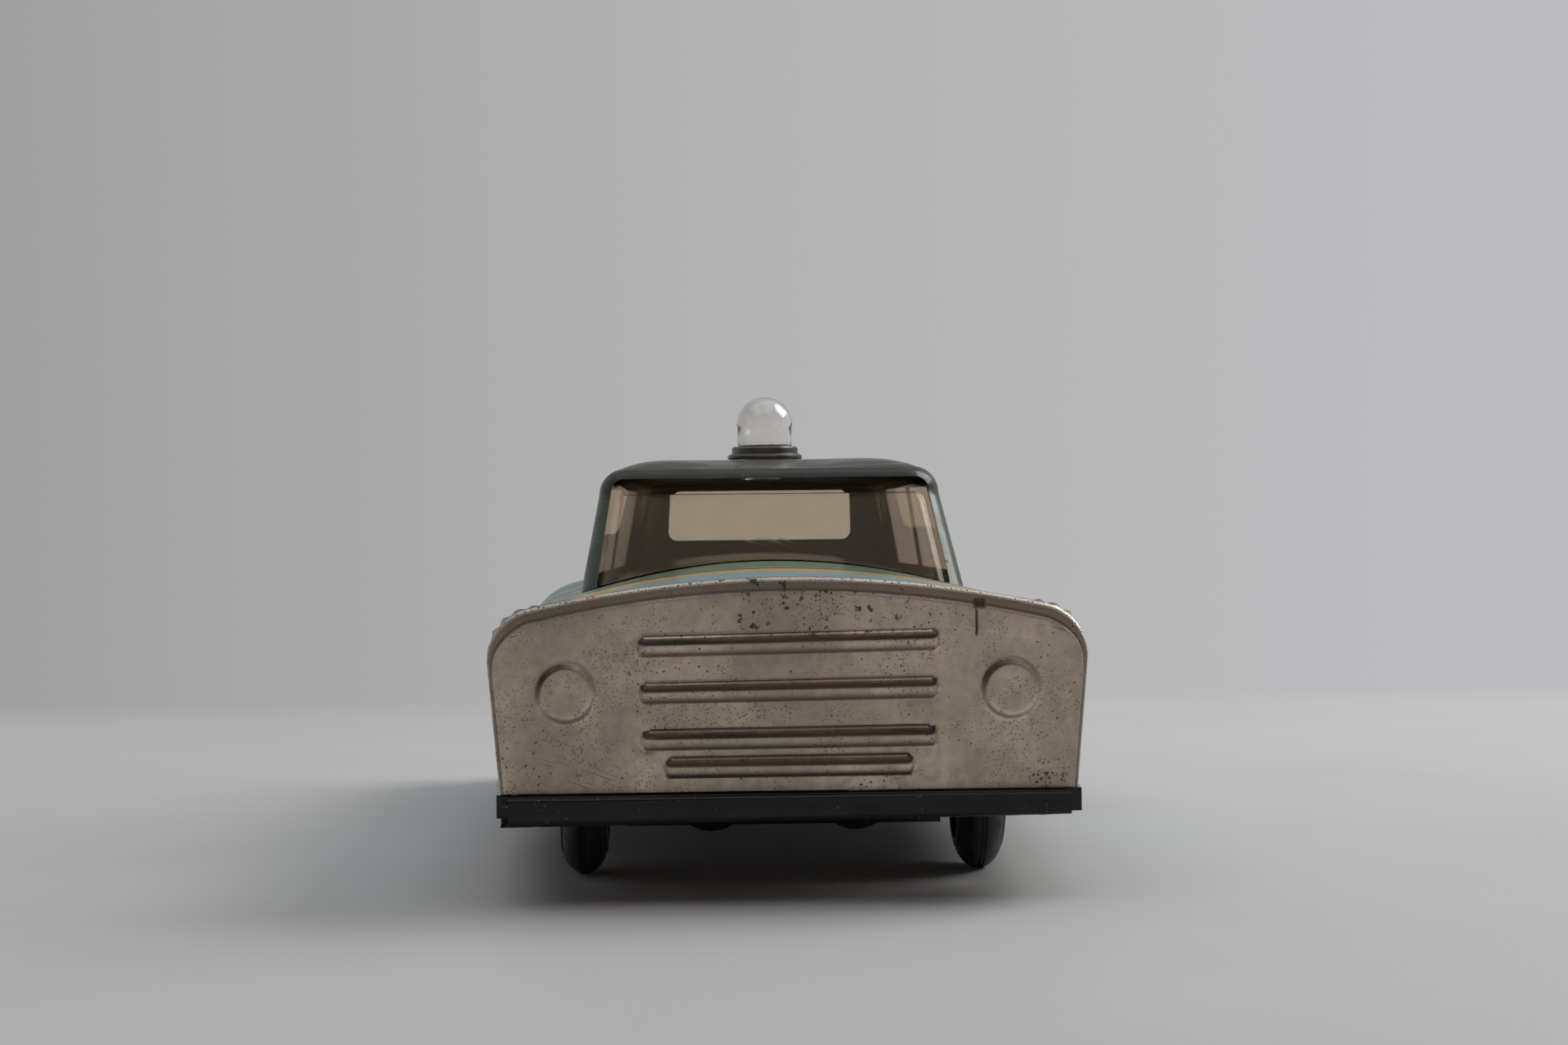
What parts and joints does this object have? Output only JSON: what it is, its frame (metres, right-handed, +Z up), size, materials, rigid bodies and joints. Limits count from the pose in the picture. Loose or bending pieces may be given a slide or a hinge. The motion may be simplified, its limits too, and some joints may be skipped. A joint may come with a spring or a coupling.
{
  "type": "wind up tin toy car",
  "caption": "Clockwork tinplate toy car with a pressed grille, see-through cabin, roof beacon, steerable front axle and a side winding key.",
  "frame": {"origin": "On the flat pad pressed down from the underside of the chassis plate, on the centre line and half way along the body", "axes": "+X is the car's left side, where the key is, +Y its tail, +Z up"},
  "size_m": [0.0765, 0.1484, 0.0549],
  "materials": {
    "bare_tin": "bare tinplate with light rust, pits and scratches",
    "litho_body": "glossy printed tinplate, blue below with a yellow stripe and green above",
    "litho_cabin": "glossy printed tinplate, green",
    "black_tin": "glossy black enamel, chipped at the edges",
    "tinted_plastic": "thin clear plastic, yellowed brown",
    "clear_plastic": "clear moulded plastic",
    "black_rubber": "satin black rubber",
    "steel": "drawn and stamped steel",
    "spring_steel": "blued spring steel",
    "brass": "stamped brass"
  },
  "bodies": {
    "body": {"body_shell": "litho_body", "grille_panel": "bare_tin", "tail_panel": "bare_tin", "cabin_shell": "litho_cabin", "glazing_band": "tinted_plastic", "beacon_collar": "black_tin", "beacon_dome": "clear_plastic", "chassis_plate": "black_tin", "front_bumper": "black_tin", "rear_bumper": "black_tin", "steering_rivet": "steel", "motor_left_plate": "steel", "motor_right_plate": "steel", "motor_front_pillar": "steel", "motor_top_pillar": "steel", "motor_rear_pillar": "steel", "mainspring": "spring_steel", "lever_rivet": "steel"},
    "steering": {"steering_bracket": "black_tin"},
    "front_wheels": {"front_axle": "steel", "front_left_tyre": "black_rubber", "front_left_hub": "bare_tin", "front_right_tyre": "black_rubber", "front_right_hub": "bare_tin"},
    "rear_wheels": {"rear_axle": "steel", "rear_left_tyre": "black_rubber", "rear_left_hub": "bare_tin", "rear_right_tyre": "black_rubber", "rear_right_hub": "bare_tin", "axle_pinion": "brass"},
    "middle": {"middle_arbor": "steel", "middle_pinion": "brass", "middle_gear": "brass"},
    "great_wheel": {"great_wheel": "brass", "click_spring": "spring_steel"},
    "click": {"click": "steel"},
    "winding": {"winding_arbor": "steel", "ratchet_wheel": "steel", "winding_key": "steel"},
    "stop_lever": {"stop_lever": "black_tin"}
  },
  "joints": [
    {"name": "rear_axle_turn", "type": "hinge", "parent": "body", "child": "rear_wheels", "pos_m": [0, 0.042, -0.0018], "axis": [1, 0, 0], "continuous": true},
    {"name": "middle_arbor_turn", "type": "hinge", "parent": "body", "child": "middle", "pos_m": [0, 0.03377, 0.00801], "axis": [1, 0, 0], "continuous": true},
    {"name": "great_wheel_turn", "type": "hinge", "parent": "body", "child": "great_wheel", "pos_m": [0, 0.0194, 0.00891], "axis": [1, 0, 0], "continuous": true, "deforming": ["mainspring"]},
    {"name": "winding_arbor_turn", "type": "hinge", "parent": "great_wheel", "child": "winding", "pos_m": [0, 0.0194, 0.00891], "axis": [1, 0, 0], "continuous": true, "deforming": ["mainspring", "click_spring"]},
    {"name": "click_lift", "type": "hinge", "parent": "great_wheel", "child": "click", "pos_m": [0, 0.01388, 0.01321], "axis": [1, 0, 0], "range_deg": [-14, 0], "stiffness_Nm_per_rad": 0.0004, "springref_deg": 11.46, "deforming": ["click_spring"]},
    {"name": "steering_turn", "type": "hinge", "parent": "body", "child": "steering", "pos_m": [0, -0.0485, 0.0004], "axis": [0, 0, 1], "range_deg": [-15, 15]},
    {"name": "front_axle_turn", "type": "hinge", "parent": "steering", "child": "front_wheels", "pos_m": [0, -0.044, -0.0018], "axis": [1, 0, 0], "continuous": true},
    {"name": "stop_lever_turn", "type": "hinge", "parent": "body", "child": "stop_lever", "pos_m": [0, 0.0184, -0.0032], "axis": [1, 0, 0], "range_deg": [0, 8]}
  ],
  "couplings": [
    {"joint": "middle_arbor_turn", "follows": "rear_axle_turn", "ratio": -0.33333},
    {"joint": "great_wheel_turn", "follows": "rear_axle_turn", "ratio": 0.095238}
  ]
}
